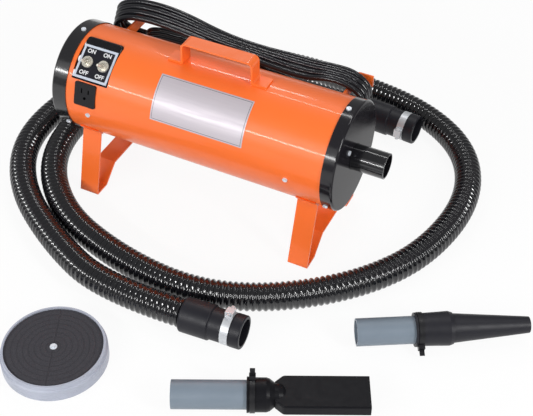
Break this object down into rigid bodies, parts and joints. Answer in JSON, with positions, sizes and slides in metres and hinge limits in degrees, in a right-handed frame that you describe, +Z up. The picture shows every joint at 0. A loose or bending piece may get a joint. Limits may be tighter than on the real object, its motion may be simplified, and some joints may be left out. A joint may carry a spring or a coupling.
{
  "type": "pet dryer",
  "caption": "Canister blower for drying animals: steel tube on two strap feet with switches, wound cord, free ribbed hose, loose nozzles and an intake filter.",
  "frame": {"origin": "on the floor, midway between the two feet, under the tube's middle", "axes": "+X along the tube towards the outlet pipe, -Y the side of the switch panel, +Z up"},
  "size_m": [0.9674, 0.9066, 0.306],
  "materials": {
    "painted_steel": "orange powder coat, glossy",
    "black_steel": "black gloss paint",
    "plated_screws": "zinc plated",
    "bare_steel": "plain sheet steel",
    "switch_metal": "polished",
    "black_plastic": "moulded",
    "black_print": "printed black field",
    "plate_aluminium": "satin, blank",
    "cord_rubber": "smooth jacket",
    "blade_brass": "bright",
    "hose_vinyl": "ribbed",
    "nozzle_rubber": "smooth",
    "grey_plastic": "grey tube",
    "tie_plastic": "nylon",
    "white_plastic": "moulded ring",
    "foam": "open foam",
    "grille_plastic": "support grille",
    "motor_ring_rubber": "isolating ring",
    "motor_case": "drawn steel",
    "motor_frame": "cast",
    "motor_core": "laminations and windings",
    "bearing_steel": "ground steel",
    "carbon": "carbon"
  },
  "bodies": {
    "dryer": {"body_tube": "painted_steel", "handle": "painted_steel", "left_foot": "painted_steel", "right_foot": "painted_steel", "cord_hook_left": "painted_steel", "cord_hook_right": "painted_steel", "intake_cap": "black_steel", "outlet_cap": "black_steel", "outlet_pipe": "black_steel", "cap_screws": "plated_screws", "rail_screws": "plated_screws", "outlet_screws": "plated_screws", "filter_screw": "plated_screws", "intake_screen": "bare_steel", "motor_rails": "bare_steel", "clamp_bands": "bare_steel", "clamp_housings": "bare_steel", "toggle_nuts": "switch_metal", "switch_plate": "switch_metal", "switch_box": "black_plastic", "toggle_body_left": "black_plastic", "toggle_body_right": "black_plastic", "receptacle": "black_plastic", "switch_legend": "black_print", "label_plate": "plate_aluminium", "strain_relief": "cord_rubber", "power_cord_lead": "cord_rubber", "power_cord_hank": "cord_rubber", "power_cord_tail": "cord_rubber", "plug_body": "cord_rubber", "plug_blades": "blade_brass", "hose": "hose_vinyl", "hose_cuff_1": "nozzle_rubber", "hose_cuff_2": "nozzle_rubber", "cone_nozzle": "nozzle_rubber", "flat_nozzle": "nozzle_rubber", "cone_nozzle_tube": "grey_plastic", "flat_nozzle_tube": "grey_plastic", "nozzle_ties": "tie_plastic", "filter_ring": "white_plastic", "filter_foam": "foam", "filter_grille": "grille_plastic", "motor_ring_1": "motor_ring_rubber", "motor_ring_2": "motor_ring_rubber", "motor_1_fan_case": "motor_case", "motor_2_fan_case": "motor_case", "motor_1_frame": "motor_frame", "motor_2_frame": "motor_frame", "motor_1_field": "motor_core", "motor_2_field": "motor_core", "motor_bearings": "bearing_steel", "motor_brushes": "carbon"},
    "toggle_lever_left": {"toggle_lever_left": "switch_metal"},
    "toggle_lever_right": {"toggle_lever_right": "switch_metal"},
    "motor_1_rotor": {"motor_1_armature": "motor_core", "motor_1_impellers": "motor_frame"},
    "motor_2_rotor": {"motor_2_armature": "motor_core", "motor_2_impellers": "motor_frame"},
    "clamp_screw_1": {"clamp_screw_1": "bare_steel"},
    "clamp_screw_2": {"clamp_screw_2": "bare_steel"}
  },
  "joints": [
    {"name": "switch_left", "type": "hinge", "parent": "dryer", "child": "toggle_lever_left", "pos_m": [-0.2015, -0.05302, 0.24836], "axis": [-1, 0, 0], "range_deg": [0, 25]},
    {"name": "switch_right", "type": "hinge", "parent": "dryer", "child": "toggle_lever_right", "pos_m": [-0.1719, -0.05302, 0.24836], "axis": [-1, 0, 0], "range_deg": [0, 25]},
    {"name": "motor_1_spin", "type": "hinge", "parent": "dryer", "child": "motor_1_rotor", "pos_m": [-0.06, 0, 0.178], "axis": [1, 0, 0], "continuous": true},
    {"name": "motor_2_spin", "type": "hinge", "parent": "dryer", "child": "motor_2_rotor", "pos_m": [0.105, 0, 0.178], "axis": [1, 0, 0], "continuous": true},
    {"name": "clamp_screw_1_turn", "type": "hinge", "parent": "dryer", "child": "clamp_screw_1", "pos_m": [0.23567, 0.25415, 0.03231], "axis": [0.0116, 0.1387, 0.9903], "continuous": true},
    {"name": "clamp_screw_2_turn", "type": "hinge", "parent": "dryer", "child": "clamp_screw_2", "pos_m": [0.17195, -0.27942, 0.05848], "axis": [-0.0681, 0.9824, -0.1736], "continuous": true}
  ]
}
